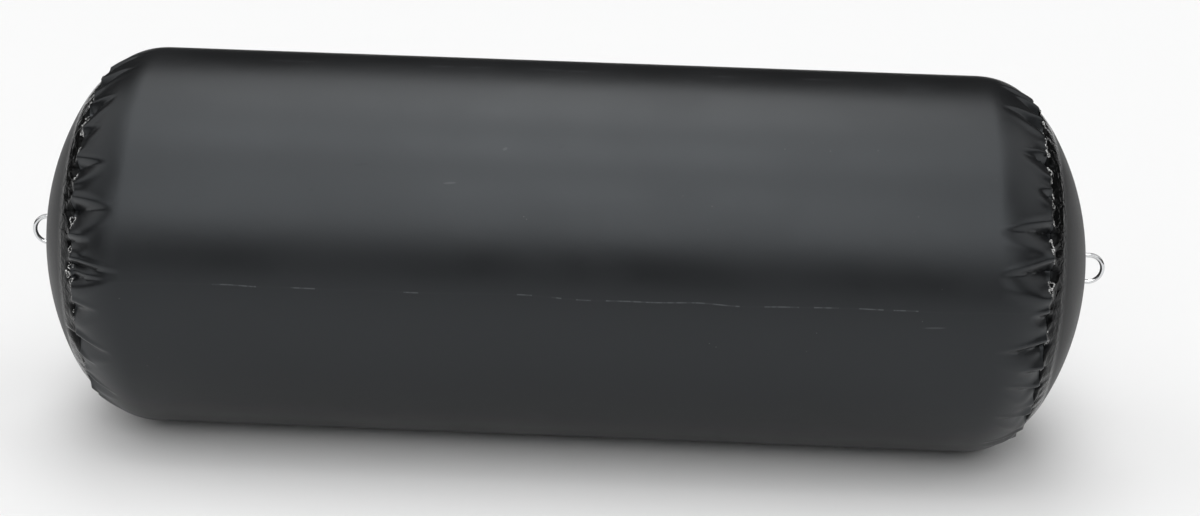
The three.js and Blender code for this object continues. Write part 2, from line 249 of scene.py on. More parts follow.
class Shader:
    """A node tree with short calls for adding and joining nodes."""

    def __init__(self, tree: bpy.types.NodeTree) -> None:
        """Hold the tree.

        Args:
            tree: The node tree to add to.
        """
        self.tree = tree

    def add(self, kind: str, settings: dict | None = None, **inputs: object) -> bpy.types.Node:
        """Add a node.

        Args:
            kind: The node's type, without the leading "ShaderNode".
            settings: Properties of the node.
            inputs: Values or sockets for its inputs, by name with _ for a space.

        Returns:
            The new node.
        """
        node = self.tree.nodes.new("ShaderNode" + kind)
        for key, value in (settings or {}).items():
            setattr(node, key, value)
        for key, value in inputs.items():
            self.feed(node.inputs[key.replace("_", " ")], value)
        return node

    def feed(self, socket: bpy.types.NodeSocket, value: object) -> None:
        """Link a socket to an input, or set the input's value.

        Args:
            socket: The input.
            value: An output socket, or a plain value.
        """
        if isinstance(value, bpy.types.NodeSocket):
            self.tree.links.new(value, socket)
        else:
            socket.default_value = value

    def maths(self, operation: str, first: object, second: object = 0.0,
              clamp: bool = False) -> bpy.types.NodeSocket:
        """Add a Math node.

        Args:
            operation: The operation's name.
            first: The first value or socket.
            second: The second value or socket.
            clamp: Whether the result is kept between 0 and 1.

        Returns:
            The result.
        """
        node = self.add("Math", {"operation": operation, "use_clamp": clamp})
        self.feed(node.inputs[0], first)
        self.feed(node.inputs[1], second)
        return node.outputs[0]

    def ramp(self, value: object, low: float, high: float, start: float = 0.0,
             end: float = 1.0) -> bpy.types.NodeSocket:
        """Carry a value from one range smoothly to another.

        Args:
            value: The value or socket.
            low: Where the range starts.
            high: Where the range ends.
            start: The result at low.
            end: The result at high.

        Returns:
            The result.
        """
        node = self.add("MapRange", {"interpolation_type": "SMOOTHSTEP"})
        for key, given in (("Value", value), ("From Min", low), ("From Max", high),
                           ("To Min", start), ("To Max", end)):
            self.feed(node.inputs[key], given)
        return node.outputs["Result"]

    def mix(self, factor: object, first: object, second: object) -> bpy.types.NodeSocket:
        """Mix two colours.

        Args:
            factor: The share of the second.
            first: The first colour or socket.
            second: The second colour or socket.

        Returns:
            The mixed colour.
        """
        node = self.add("Mix", {"data_type": "RGBA"})
        self.feed(node.inputs["Factor"], factor)
        self.feed(node.inputs[6], first)
        self.feed(node.inputs[7], second)
        return node.outputs[2]

    def here(self) -> bpy.types.NodeSocket:
        """The place on the piece, in metres."""
        return self.add("TexCoord").outputs["Object"]

    def finish(self, shader: bpy.types.Node, colour: object, roughness: object, height: object,
               strength: float = 1.0, distance: float = 1.0) -> None:
        """Feed a Principled node its colour, its roughness and a bump.

        Args:
            shader: The Principled node.
            colour: The base colour.
            roughness: The roughness.
            height: The bump's height.
            strength: The bump's strength.
            distance: The length that a height of 1 stands for.
        """
        bump = self.add("Bump", Strength=strength, Distance=distance, Height=height)
        self.feed(shader.inputs["Base Color"], colour)
        self.feed(shader.inputs["Roughness"], roughness)
        self.feed(shader.inputs["Normal"], bump.outputs["Normal"])


def new_material(name: str) -> tuple[bpy.types.Material, Shader, bpy.types.Node]:
    """Start a material.

    Args:
        name: Its name.

    Returns:
        The material, the tools for its nodes and its Principled node.
    """
    material = bpy.data.materials.new(name)
    material.use_nodes = True
    return material, Shader(material.node_tree), material.node_tree.nodes["Principled BSDF"]


def shade(colour: Sequence[float], factor: float = 1.0) -> tuple[float, ...]:
    """A colour times a factor, with its alpha."""
    return (*(c * factor for c in colour), 1.0)


def new_group(name: str, inputs: dict[str, float], outputs: dict[str, str]) -> tuple[
        bpy.types.NodeTree, Shader, bpy.types.Node, bpy.types.Node]:
    """Start a shader node group with named sockets.

    Args:
        name: The group's name.
        inputs: Names of float inputs with their defaults.
        outputs: Names of outputs with their socket types.

    Returns:
        The group, its shader tools, its input node and its output node.
    """
    tree = bpy.data.node_groups.new(name, "ShaderNodeTree")
    for key, value in inputs.items():
        socket = tree.interface.new_socket(key, in_out="INPUT", socket_type="NodeSocketFloat")
        socket.default_value = value
    for key, kind in outputs.items():
        tree.interface.new_socket(key, in_out="OUTPUT", socket_type=kind)
    shader = Shader(tree)
    return tree, shader, tree.nodes.new("NodeGroupInput"), tree.nodes.new("NodeGroupOutput")


def cloud_group() -> bpy.types.NodeTree:
    """Soft uneven patches and fine dust specks, for colour and gloss.

    Returns:
        The group, with outputs Patch, Grain and Speck.
    """
    tree, s, given, out = new_group(
        "surface_variation", {"Patch Scale": 6.0, "Grain Scale": 180.0},
        {"Patch": "NodeSocketFloat", "Grain": "NodeSocketFloat", "Speck": "NodeSocketFloat"})
    place = s.here()
    patch = s.add("TexNoise", Vector=place, Scale=given.outputs["Patch Scale"], Detail=4.0)
    grain = s.add("TexNoise", Vector=place, Scale=given.outputs["Grain Scale"], Detail=3.0)
    speck = s.add("TexVoronoi", Vector=place, Scale=48.0)
    dot = s.ramp(speck.outputs["Distance"], 0.02, 0.06, 1.0, 0.0)
    rare = s.ramp(s.add("TexNoise", Vector=place, Scale=9.0).outputs["Fac"], 0.56, 0.64)
    s.feed(out.inputs["Patch"], s.ramp(patch.outputs["Fac"], 0.3, 0.7))
    s.feed(out.inputs["Grain"], grain.outputs["Fac"])
    s.feed(out.inputs["Speck"], s.maths("MULTIPLY", dot, rare))
    return tree


def weave_group() -> bpy.types.NodeTree:
    """The base cloth's plain weave showing faintly through the coating, as a height.

    Returns:
        The group, with an input Thread Pitch and an output Height.
    """
    tree, s, given, out = new_group("cloth_print_through", {"Thread Pitch": 0.0011},
                                    {"Height": "NodeSocketFloat"})
    place = s.add("SeparateXYZ", Vector=s.here())
    turn = s.maths("ARCTAN2", place.outputs["Z"], place.outputs["Y"])
    around = s.maths("MULTIPLY", turn, TUBE_R)
    heights = []
    for run in (place.outputs["X"], around):
        phase = s.maths("DIVIDE", run, given.outputs["Thread Pitch"])
        heights.append(s.maths("SINE", s.maths("MULTIPLY", phase, 2 * math.pi)))
    s.feed(out.inputs["Height"], s.maths("MULTIPLY", heights[0], heights[1]))
    return tree


@dataclass(frozen=True)
class CoatedFabric:
    """Black coated fabric: satin, faintly uneven, with the cloth's weave printing through."""

    name: str
    colour: tuple[float, float, float] = (0.0036, 0.0037, 0.0041)
    roughness: float = 0.33
    gloss: float = 0.47
    weave_height: float = 0.00002
    grain_height: float = 0.00006
    patch_scale: float = 5.0
    patch_gain: float = 1.35
    painted_light_tint: tuple[float, float, float] = (0.89, 0.95, 1.0)
    dust: tuple[float, float, float] = (0.2, 0.2, 0.19)
    dust_cover: float = 0.35

    def start(self) -> tuple[bpy.types.Material, Shader, bpy.types.Node]:
        """Make the plain finish.

        Returns:
            The material, its tools and its Principled node.
        """
        material, s, shader = new_material(self.name)
        shader.inputs["Specular IOR Level"].default_value = self.gloss
        # Painted light: the specular tint gives the fabric's reflections the light's faint blue.
        shader.inputs["Specular Tint"].default_value = shade(self.painted_light_tint)
        clouds = s.add("Group", {"node_tree": SHARED["clouds"]}, Patch_Scale=self.patch_scale)
        weave = s.add("Group", {"node_tree": SHARED["weave"]})
        patch = clouds.outputs["Patch"]
        base = s.mix(patch, shade(self.colour), shade(self.colour, self.patch_gain))
        dusty = s.maths("MULTIPLY", clouds.outputs["Speck"], self.dust_cover)
        height = s.maths("MULTIPLY", weave.outputs["Height"], self.weave_height)
        grain = s.maths("MULTIPLY", clouds.outputs["Grain"], self.grain_height)
        s.finish(shader, s.mix(dusty, base, shade(self.dust)),
                 s.ramp(patch, 0.0, 1.0, self.roughness - 0.02, self.roughness + 0.03),
                 s.maths("ADD", height, grain))
        return material, s, shader

    def make(self) -> bpy.types.Material:
        """The plain finish."""
        return self.start()[0]


@dataclass(frozen=True)
class Mark:
    """A mark on the tube's front: its place along the tube, its angle and its size."""

    x: float
    angle: float
    length: float
    height: float
    pale: bool = False


@dataclass(frozen=True)
class Crease:
    """A fold line along the tube: its angle, and where along the tube it is rubbed pale."""

    angle: float
    dashes: tuple[tuple[float, float], ...]

    def dashes_at(self, s: Shader, x: bpy.types.NodeSocket) -> bpy.types.NodeSocket:
        """A mask that is 1 where the fold is rubbed.

        Args:
            s: The tools of the material's tree.
            x: The place along the tube.

        Returns:
            The mask.
        """
        ramp = s.add("ValToRGB")
        s.feed(ramp.inputs["Fac"], s.maths("ADD", s.maths("MULTIPLY", x, 0.5), 0.5))
        ramp.color_ramp.interpolation = "CONSTANT"
        ramp.color_ramp.elements[1].position = 1.0
        ramp.color_ramp.elements[1].color = (0, 0, 0, 1)
        for start, end in self.dashes:
            ramp.color_ramp.elements.new(0.5 + start / 2).color = (1, 1, 1, 1)
            ramp.color_ramp.elements.new(0.5 + end / 2).color = (0, 0, 0, 1)
        return ramp.outputs["Color"]


@dataclass(frozen=True)
class MarkedFabric(CoatedFabric):
    """The tube's fabric, with fold creases along it and a few small scuffs."""

    creases: tuple[Crease, ...] = (
        Crease(4.0, ((-0.550, -0.478), (-0.424, -0.383), (-0.245, -0.221), (-0.066, -0.040),
                     (-0.008, 0.007), (0.028, 0.052), (0.077, 0.282), (0.321, 0.378),
                     (0.403, 0.442), (0.471, 0.513), (0.529, 0.566))),
        Crease(84.3, ((-0.504, -0.430), (-0.235, -0.201), (-0.167, -0.139), (-0.063, 0.026),
                      (0.227, 0.275), (0.385, 0.452))),
        Crease(163.0, ((-0.480, -0.390), (-0.210, -0.150), (-0.040, 0.060), (0.330, 0.410))),
        Crease(251.0, ((-0.610, -0.520), (-0.300, -0.220), (0.120, 0.260), (0.440, 0.500))),
    )
    marks: tuple[Mark, ...] = (
        Mark(-0.002, 48.0, 0.011, 0.009),
        Mark(-0.319, 39.9, 0.024, 0.005),
        Mark(-0.395, 31.9, 0.007, 0.006),
        Mark(-0.576, 28.8, 0.012, 0.004),
        Mark(-0.647, 15.1, 0.007, 0.005),
        Mark(-0.748, 17.8, 0.008, 0.006),
        Mark(-0.707, 25.4, 0.009, 0.005),
        Mark(0.061, 41.2, 0.018, 0.003),
        Mark(-0.092, 46.5, 0.008, 0.006, True),
        Mark(-0.176, 35.3, 0.022, 0.004, True),
        Mark(0.598, -0.6, 0.036, 0.003, True),
    )
    wander: float = 2.4
    unrubbed: float = 0.05
    rubbed: tuple[float, float, float] = (0.050, 0.052, 0.055)
    pale_mark: tuple[float, float, float] = (0.035, 0.036, 0.038)
    dark_mark: tuple[float, float, float] = (0.001, 0.001, 0.001)

    def make(self) -> bpy.types.Material:
        """The fabric with its creases and scuffs.

        Returns:
            The material.
        """
        material, s, shader = self.start()
        place = s.add("SeparateXYZ", Vector=s.here())
        x = place.outputs["X"]
        level = s.maths("SUBTRACT", place.outputs["Z"], AXIS_Z)
        front = s.maths("MULTIPLY", place.outputs["Y"], -1.0)
        turn = s.maths("MULTIPLY", s.maths("ARCTAN2", level, front), 180 / math.pi)
        colour = shader.inputs["Base Color"].links[0].from_socket
        drift, broken = (
            s.add("TexNoise", {"noise_dimensions": "1D"}, W=x, Scale=scale,
                  Detail=detail).outputs["Fac"]
            for scale, detail in ((5.0, 1.0), (60.0, 2.0)))
        worn = s.ramp(broken, 0.35, 0.6, 0.25, 1.0)
        wander = s.maths("MULTIPLY", s.maths("SUBTRACT", drift, 0.5), self.wander)
        for crease in self.creases:
            signed = crease.angle if crease.angle < 180 else crease.angle - 360
            off = s.maths("ADD", s.maths("SUBTRACT", turn, signed), wander)
            line = s.ramp(s.maths("ABSOLUTE", off), 0.08, 0.26, 1.0, 0.0)
            dashes = s.maths("MULTIPLY", crease.dashes_at(s, x), worn)
            shown = s.maths("ADD", dashes, self.unrubbed)
            colour = s.mix(s.maths("MULTIPLY", line, shown), colour, shade(self.rubbed))
        for mark in self.marks:
            across = s.maths("DIVIDE", s.maths("SUBTRACT", x, mark.x), mark.length / 2)
            lift = s.maths("DIVIDE", s.maths("SUBTRACT", turn, mark.angle),
                           math.degrees(mark.height / 2 / TUBE_R))
            leaned = s.maths("SUBTRACT", lift, s.maths("MULTIPLY", across, 0.5))
            reach = s.maths("ADD", s.maths("POWER", across, 2.0), s.maths("POWER", leaned, 2.0))
            near = s.ramp(reach, 0.4, 1.2, 0.8, 0.0)
            colour = s.mix(near, colour, shade(self.pale_mark if mark.pale else self.dark_mark))
        s.feed(shader.inputs["Base Color"], colour)
        return material


@dataclass(frozen=True)
class WeldedDiscFabric(CoatedFabric):
    """The end disc's fabric, with the glossy, rippled band that hot welding leaves at its rim; the
    band's darker colour is painted shade.
    """

    band_roughness: float = 0.12
    band_shade_colour: tuple[float, float, float] = (0.003, 0.003, 0.003)
    ripple_height: float = 0.0016

    def make(self) -> bpy.types.Material:
        """The fabric with its welded band.

        Returns:
            The material.
        """
        material, s, shader = self.start()
        place = s.here()
        out = s.maths("ABSOLUTE", s.add("SeparateXYZ", Vector=place).outputs["X"])
        band = s.ramp(out, VALLEY_X - 0.002, VALLEY_X + 0.012, 1.0, 0.0)
        ripple = s.add("TexNoise", Vector=place, Scale=95.0, Detail=3.0, Distortion=0.6)
        colour, rough = (shader.inputs[key].links[0].from_socket
                         for key in ("Base Color", "Roughness"))
        height = shader.inputs["Normal"].links[0].from_node.inputs["Height"]
        rippled = s.maths("MULTIPLY", ripple.outputs["Fac"], band)
        molten = s.maths("MULTIPLY", rippled, self.ripple_height)
        s.feed(height, s.maths("ADD", height.links[0].from_socket, molten))
        # The band's darker colour is painted shade in the seam's valley; its gloss and ripple are
        # the weld's own.
        s.feed(shader.inputs["Base Color"], s.mix(band, colour, shade(self.band_shade_colour)))
        s.feed(shader.inputs["Roughness"], s.ramp(band, 0.0, 1.0, rough, self.band_roughness))
        return material


@dataclass(frozen=True)
class WeldBead:
    """Clear glossy squeeze-out, milky where it is thin, its pale patches partly a painted glint."""

    name: str
    clear: tuple[float, float, float] = (0.02, 0.02, 0.022)
    milky_glint: tuple[float, float, float] = (0.50, 0.50, 0.49)

    def make(self) -> bpy.types.Material:
        """The bead's finish.

        Returns:
            The material.
        """
        material, s, shader = new_material(self.name)
        shader.inputs["Specular IOR Level"].default_value = 1.0
        milk_and_glint = s.add("TexNoise", Vector=s.here(), Scale=420.0, Detail=2.0).outputs["Fac"]
        # The pale colour is partly milky squeeze-out and partly a painted glint.
        s.finish(shader, s.mix(s.ramp(milk_and_glint, 0.42, 0.62), shade(self.clear), shade(self.milky_glint)),
                 s.ramp(milk_and_glint, 0.3, 0.7, 0.06, 0.20), s.maths("MULTIPLY", milk_and_glint, 0.0006))
        return material


@dataclass(frozen=True)
class PolishedSteel:
    """Polished stainless steel with fine scratches."""

    name: str
    colour: tuple[float, float, float] = (0.72, 0.73, 0.74)
    roughness: float = 0.12

    def make(self) -> bpy.types.Material:
        """The metal.

        Returns:
            The material.
        """
        material, s, shader = new_material(self.name)
        shader.inputs["Metallic"].default_value = 1.0
        place = s.here()
        brushed = s.add("Mapping", Vector=place, Scale=(1, 1, 9)).outputs[0]
        scratch = s.add("TexNoise", Vector=brushed, Scale=260.0, Detail=3.0).outputs["Fac"]
        smear = s.add("TexNoise", Vector=place, Scale=40.0, Detail=2.0).outputs["Fac"]
        s.finish(shader, s.mix(smear, shade(self.colour, 0.9), shade(self.colour)),
                 s.ramp(scratch, 0.35, 0.7, self.roughness * 0.7, self.roughness * 1.6),
                 scratch, strength=0.25, distance=0.0001)
        return material


@dataclass(frozen=True)
class Webbing:
    """Flat woven strap: diagonal ribs with a soft sheen, and painted light and shade on the ribs.
    """

    name: str
    colour: tuple[float, float, float] = (0.022, 0.022, 0.024)
    rib_pitch: float = 0.0022

    def make(self) -> bpy.types.Material:
        """The woven strap.

        Returns:
            The material.
        """
        material, s, shader = new_material(self.name)
        shader.inputs["Sheen Weight"].default_value = 0.25
        shader.inputs["Specular IOR Level"].default_value = 0.3
        place = s.add("SeparateXYZ", Vector=s.here())
        across = s.maths("MULTIPLY", place.outputs["Z"], 2 * math.pi / self.rib_pitch)
        run = s.maths("ADD", place.outputs["X"], place.outputs["Y"])
        along = s.maths("MULTIPLY", run, 2 * math.pi / self.rib_pitch)
        ribs = [s.maths("SINE", s.maths(way, across, along)) for way in ("ADD", "SUBTRACT")]
        height = s.maths("MULTIPLY", s.maths("ADD", *ribs), 0.5)
        # Painted light and shade: the colour is paler on the ribs' crests and darker in their
        # grooves.
        share = s.ramp(height, -1.0, 1.0)
        s.finish(shader, s.mix(share, shade(self.colour, 0.5), shade(self.colour, 1.5)),
                 s.ramp(height, -1.0, 1.0, 0.8, 0.6), height, strength=0.8, distance=0.0003)
        return material


@dataclass(frozen=True)
class Moulded:
    """Moulded plastic or rubber with a fine spark-eroded grain."""

    name: str
    colour: tuple[float, float, float] = (0.03, 0.031, 0.033)
    roughness: float = 0.45
    grain: float = 0.00008

    def make(self) -> bpy.types.Material:
        """The moulded finish.

        Returns:
            The material.
        """
        material, s, shader = new_material(self.name)
        clouds = s.add("Group", {"node_tree": SHARED["clouds"]},
                       Patch_Scale=60.0, Grain_Scale=900.0)
        patch, grain = clouds.outputs["Patch"], clouds.outputs["Grain"]
        s.finish(shader, s.mix(patch, shade(self.colour), shade(self.colour, 1.3)),
                 s.ramp(grain, 0.3, 0.7, self.roughness - 0.06, self.roughness + 0.08),
                 s.maths("MULTIPLY", grain, self.grain))
        return material


# The form of the blown-up tube and its ends

TUBE_R = 0.325
STRAIGHT_X = 0.693
SHOULDER = 0.087
SHOULDER_DROP = 0.037
SHOULDER_CURVE = 2.15
FABRIC = 0.0015
BAND_LENGTH = 0.026
BAND_DROP = 0.024
DISC_BULGE = 0.084
SEAT_R = 0.070
REST_HALF_WIDTH = 0.051
AXIS_Z = math.sqrt(TUBE_R ** 2 - REST_HALF_WIDTH ** 2)
EDGE_X = STRAIGHT_X + SHOULDER
EDGE_R = TUBE_R - SHOULDER_DROP
VALLEY_X = EDGE_X + BAND_LENGTH
VALLEY_R = EDGE_R - BAND_DROP
DOME_R = (VALLEY_R ** 2 + DISC_BULGE ** 2) / (2 * DISC_BULGE)
DOME_X = VALLEY_X + DISC_BULGE - DOME_R
SEAT_X = DOME_X + math.sqrt(DOME_R ** 2 - SEAT_R ** 2)
COLUMNS = 720


@dataclass(frozen=True)
class Pleat:
    """One tuck of the gathered end.

    angle is at the cut edge, length is a share of the shoulder, lean is how far the tip is
    turned from the edge, in degrees, and crossing is how far the tuck runs on over the disc.
    """

    angle: float
    length: float
    depth: float = 0.009
    width: float = 2.6
    lean: float = 0.0
    crossing: float = 0.022


FRONT_PLEATS: dict[Side, tuple[Pleat, ...]] = {
    Side.LEFT: (
        Pleat(86.4, 0.85, 0.009, 2.6, 2.0), Pleat(75.4, 0.78, 0.007, 2.2, 0.5),
        Pleat(60.3, 0.58, 0.009, 2.6, 1.5), Pleat(49.9, 0.45, 0.005, 2.2, 1.0),
        Pleat(38.7, 0.68, 0.009, 2.4, -1.0), Pleat(24.5, 0.85, 0.013, 3.4, -0.5, 0.028),
        Pleat(14.5, 0.45, 0.007, 2.2, 0.5), Pleat(6.7, 1.0, 0.011, 2.4, -0.5),
        Pleat(2.5, 0.8, 0.007, 2.0, 1.5), Pleat(-7.6, 0.6, 0.006, 2.4, 1.5),
        Pleat(-19.9, 0.72, 0.009, 2.6, -0.5, 0.050), Pleat(-27.6, 0.35, 0.005, 2.0, 0.0),
        Pleat(-38.6, 0.62, 0.008, 2.6, -2.5), Pleat(-48.3, 0.55, 0.008, 2.6, -5.0),
    ),
    Side.RIGHT: (
        Pleat(88.0, 0.9, 0.009, 2.6, -1.5), Pleat(79.9, 0.52, 0.008, 2.4, 0.5),
        Pleat(70.2, 0.82, 0.009, 2.6, 1.0), Pleat(54.0, 0.66, 0.008, 2.4, -1.5),
        Pleat(41.1, 0.32, 0.004, 2.0, 0.0), Pleat(29.0, 1.0, 0.012, 2.8, -2.0),
        Pleat(16.4, 1.0, 0.014, 3.2, -2.0, 0.028), Pleat(1.7, 0.4, 0.006, 2.0, 1.0),
        Pleat(-8.9, 1.0, 0.011, 2.8, 1.0), Pleat(-18.0, 0.5, 0.007, 2.2, 3.0),
        Pleat(-25.8, 0.75, 0.008, 2.4, 6.0), Pleat(-40.5, 0.78, 0.009, 2.6, 8.0),
        Pleat(-53.8, 0.82, 0.009, 2.6, 4.0),
    ),
}
BACK_PLEATS = 14


def pleats_of(side: Side) -> list[Pleat]:
    """Every pleat of one end: those seen from the front, then the even ones behind.

    Args:
        side: The end.

    Returns:
        The pleats, in order of angle from the top of the front round the back.
    """
    front = FRONT_PLEATS[side]
    first, last = front[0].angle, front[-1].angle + 360
    step = (last - first) / (BACK_PLEATS + 1)
    back = []
    for i in range(1, BACK_PLEATS + 1):
        back.append(Pleat(
            angle=first + step * (i + 0.22 * math.sin(2.4 * i)),
            length=0.65 + 0.25 * math.sin(1.7 * i),
            depth=0.009 + 0.003 * math.sin(3.1 * i),
            width=2.6 + 0.5 * math.sin(4.3 * i),
            lean=2.5 * math.sin(5.9 * i)))
    return [*front, *back]


def profile_line() -> tuple[np.ndarray, np.ndarray, np.ndarray]:
    """The wall's outline from the middle of the tube to the disc's seat.

    Returns:
        Distance from the cut edge along the wall (below zero on the tube), x and radius.
    """
    share = np.linspace(0, 1, 60)
    x = [np.array([0.0]), STRAIGHT_X + SHOULDER * share]
    r = [np.array([TUBE_R]), TUBE_R - SHOULDER_DROP * share ** SHOULDER_CURVE]
    band = np.linspace(0, 1, 12)[1:]
    x.append(EDGE_X + BAND_LENGTH * band)
    r.append(EDGE_R - BAND_DROP * band)
    turn = np.linspace(math.asin(VALLEY_R / DOME_R), math.asin(SEAT_R / DOME_R), 60)[1:]
    x.append(DOME_X + DOME_R * np.cos(turn))
    r.append(DOME_R * np.sin(turn))
    xs, rs = np.concatenate(x), np.concatenate(r)
    run = np.concatenate([[0.0], np.cumsum(np.hypot(np.diff(xs), np.diff(rs)))])
    edge = run[60]
    return run - edge, xs, rs


RUN, RUN_X, RUN_R = profile_line()


def wall_at(run: np.ndarray) -> tuple[np.ndarray, np.ndarray]:
    """The plain wall's x and radius at distances from the cut edge, below zero on the tube."""
    return np.interp(run, RUN, RUN_X), np.interp(run, RUN, RUN_R)


def away_from(turn: np.ndarray, centre: np.ndarray | float) -> np.ndarray:
    """How far angles lie above another one, from -180 to 180 degrees."""
    return ((turn - centre + 180) % 360) - 180


def wave(turn: np.ndarray, seed: int, low: int, high: int) -> np.ndarray:
    """An uneven closed wave round the tube.

    Args:
        turn: Angles in degrees.
        seed: Picks the wave.
        low: The fewest waves round the tube.
        high: The most waves round the tube.

    Returns:
        Values of about -1 to 1.
    """
    draw = random.Random(seed)
    total = np.zeros_like(turn)
    counts = [draw.randint(low, high) for _ in range(7)]
    for count in counts:
        total += np.sin(np.radians(turn) * count + draw.uniform(0, 2 * math.pi))
    return total / 2.6


@dataclass
class EndForm:
    """The gathered form of one end, as a surface over distance and angle.

    Flanks, ridge_place and ridge_width are shares of a tuck's width, and ridge of its depth.
    Names that end in run are lengths along the wall, in metres.
    """

    side: Side
    swell: float = 0.0025
    swell_run: float = 0.050
    tuck_reach: float = 1.12
    tuck_gain: float = 1.35
    upper_flank: float = 0.55
    lower_flank: float = 1.25
    ridge: float = 0.34
    ridge_place: float = 2.1
    ridge_width: float = 0.9
    pucker: float = 0.0009
    pucker_run: float = 0.022
    groove: float = 0.0009
    groove_run: float = 0.009
    edge_stray: float = 0.0022
    edge_pull: float = 0.45
    edge_pull_width: float = 1.3
    pleats: list[Pleat] = field(init=False)

    def __post_init__(self) -> None:
        """Read the end's pleats."""
        self.pleats = pleats_of(self.side)

    def shift(self, run: np.ndarray, turn: np.ndarray) -> np.ndarray:
        """How far the gathers move the wall out of its plain form.

        Args:
            run: Distance from the cut edge, below zero on the tube.
            turn: Angles in degrees.

        Returns:
            The move outwards, in metres.
        """
        disc_share = np.clip(1 - run / self.swell_run, 0, 1)
        swell = self.swell * np.clip(1 + run / SHOULDER, 0, 1) ** 2
        total = np.where(run > 0, swell * disc_share ** 2, swell)
        for pleat in self.pleats:
            reach = pleat.length * SHOULDER * self.tuck_reach
            back = np.clip(-run / reach, 0, 1)
            along = np.where(run < 0, 1 - back, np.clip(1 - run / pleat.crossing, 0, 1) ** 1.5)
            away = away_from(turn, pleat.angle + pleat.lean * back)
            width = pleat.width * (0.35 + 0.65 * along)
            u = np.abs(away) / (np.where(away > 0, self.upper_flank, self.lower_flank) * width)
            valley = np.exp(-u ** 1.15)
            ridge = self.ridge * np.exp(-((u - self.ridge_place) / self.ridge_width) ** 2)
            total -= self.tuck_gain * pleat.depth * along ** 1.25 * (valley - ridge)
        near = np.exp(-(run / self.pucker_run) ** 2)
        total += near * self.pucker * wave(turn, 11 + self.side.value, 40, 95)
        past_valley = (run - math.hypot(BAND_LENGTH, BAND_DROP)) / self.groove_run
        total -= np.where(run > 0, self.groove * np.exp(-past_valley ** 2), 0.0)
        return total

    def edge_wave(self, turn: np.ndarray) -> np.ndarray:
        """How far the cut edge strays along the tube.

        Args:
            turn: Angles in degrees.

        Returns:
            The stray towards the disc, in metres.
        """
        stray = self.edge_stray * wave(turn, 31 + self.side.value, 6, 34)
        for pleat in self.pleats:
            share = away_from(turn, pleat.angle) / (self.edge_pull_width * pleat.width)
            stray += self.edge_pull * pleat.depth * np.exp(-share ** 2)
        return stray

    def surface(self, run: np.ndarray, turn: np.ndarray,
                lift: np.ndarray | float = 0.0) -> np.ndarray:
        """Points of the wall.

        Args:
            run: Distance from the cut edge, below zero on the tube.
            turn: Angles in degrees.
            lift: Extra distance outwards from the wall.

        Returns:
            One row of x, y, z for each point.
        """
        x, r = wall_at(run)
        step = 0.002
        dx, dr = (after - before for after, before in zip(wall_at(run + step), wall_at(run - step)))
        size = np.maximum(np.hypot(dx, dr), 1e-9)
        out = self.shift(run, turn) + lift
        x = x - dr / size * out * 0.6
        r = r + dx / size * out + np.abs(dr) / size * out * 0.4
        angle = np.radians(turn)
        z = np.maximum(r * np.sin(angle), -AXIS_Z) + AXIS_Z
        return np.stack([self.side.value * x, -r * np.cos(angle), z], axis=-1)


FORMS = {side: EndForm(side) for side in Side}


def round_axis(points: np.ndarray) -> tuple[np.ndarray, np.ndarray]:
    """Angles and radii of points turned round the X axis through the origin.

    Args:
        points: One row of x, y, z for each point.

    Returns:
        Angles in degrees, from the front upwards, and radii.
    """
    across, up = -points[:, 1], points[:, 2]
    return np.degrees(np.arctan2(up, across)), np.hypot(across, up)


@dataclass
class Tube:
    """The round tube of coated fabric, with its gathered ends and its lapped back seam."""

    row_pitch: float = 0.0021
    gathered_run: float = 0.110
    straight_rows: int = 12
    lap_angle: float = 204.0
    lap_width: float = 7.0
    stray_run: float = 0.04

    def build(self, material: bpy.types.Material) -> bpy.types.Object:
        """Turn the wall, gather both ends and lap the back seam.

        Args:
            material: The fabric.

        Returns:
            The tube.
        """
        rows = int(self.gathered_run / self.row_pitch)
        gathered = np.linspace(-self.gathered_run, 0.0, rows)
        straight = np.linspace(RUN[0], -self.gathered_run, self.straight_rows)[:-1]
        half = list(zip(*(part.tolist() for part in wall_at(np.concatenate([straight, gathered])))))
        inner = EDGE_X - 0.006
        right = [*half, (EDGE_X, EDGE_R - FABRIC), (inner, EDGE_R - 0.004), (inner, 0.0)]
        left = [(-x, r) for x, r in reversed(right)]
        piece = turned("fender_tube", left[:-1] + right, COLUMNS, Axis.X)
        self.gather(piece)
        smooth(piece, 50.0)
        dress(piece, material, "root", ["tube"])
        return piece

    def gather(self, piece: bpy.types.Object) -> None:
        """Move the turned wall into its gathered form.

        Args:
            piece: The turned tube.
        """
        points = places(piece)
        turn, radius = round_axis(points)
        moved = points.copy()
        for side, form in FORMS.items():
            here = (points[:, 0] * side.value >= 0) & (radius > 0.01)
            x = np.abs(points[here, 0])
            run = np.interp(x, RUN_X, RUN)
            depth = np.interp(x, RUN_X, RUN_R) - radius[here]
            near = np.clip(1 + run / self.stray_run, 0, 1) ** 2
            run = run + near * form.edge_wave(turn[here])
            moved[here] = form.surface(np.minimum(run, RUN[-1]), turn[here],
                                       self.lap(turn[here]) - depth)
        core = radius <= 0.01
        moved[core, 2] = AXIS_Z
        move_to(piece, moved)

    def lap(self, turn: np.ndarray) -> np.ndarray:
        """Height of the lengthwise lap on the hidden side.

        Args:
            turn: Angles in degrees.

        Returns:
            The lift in metres.
        """
        away = np.abs(away_from(turn, self.lap_angle))
        return FABRIC * np.clip((self.lap_width / 2 - away) / 0.5 + 0.5, 0, 1)


